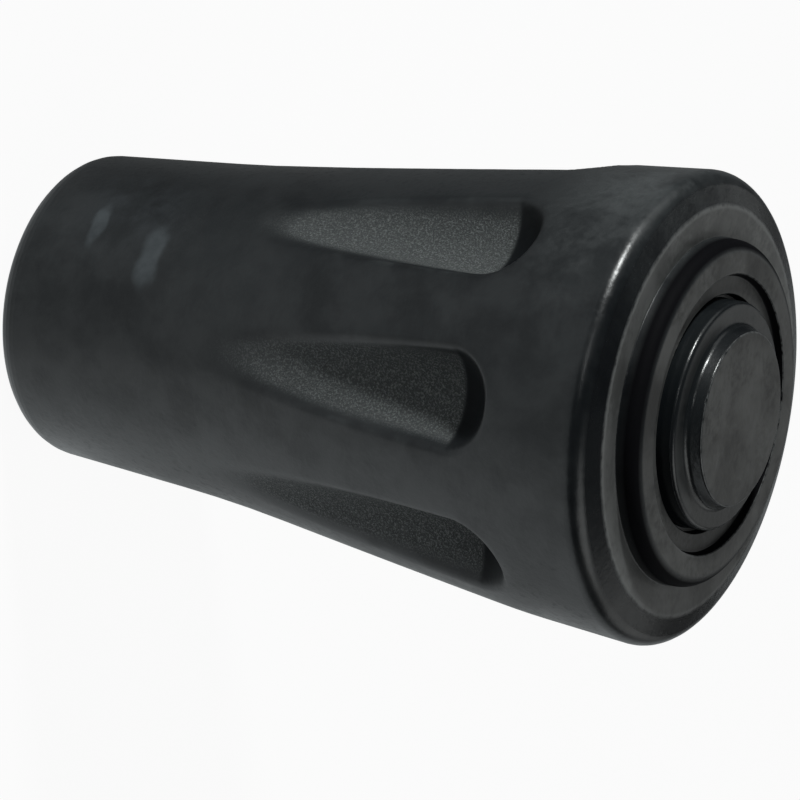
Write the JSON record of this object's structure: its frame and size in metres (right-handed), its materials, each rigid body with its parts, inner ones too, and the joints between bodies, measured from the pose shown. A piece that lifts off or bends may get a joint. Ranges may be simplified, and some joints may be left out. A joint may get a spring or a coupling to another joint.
{
  "type": "trekking pole tip",
  "caption": "Tapered rubber tip with hollow flutes along its flared side, a stepped round tread on its ground end and a blind bore that pushes over a pole's end.",
  "frame": {"origin": "centre of the mouth rim's plane, on the axis", "axes": "+Z along the axis from the mouth to the ground end, +X through the middle of one flute"},
  "size_m": [0.0296, 0.0296, 0.0497],
  "materials": {
    "rubber": "satin moulded black rubber, smooth outside with finely eroded flute floors"
  },
  "bodies": {
    "root": {"rubber_tip": "rubber"}
  },
  "joints": []
}
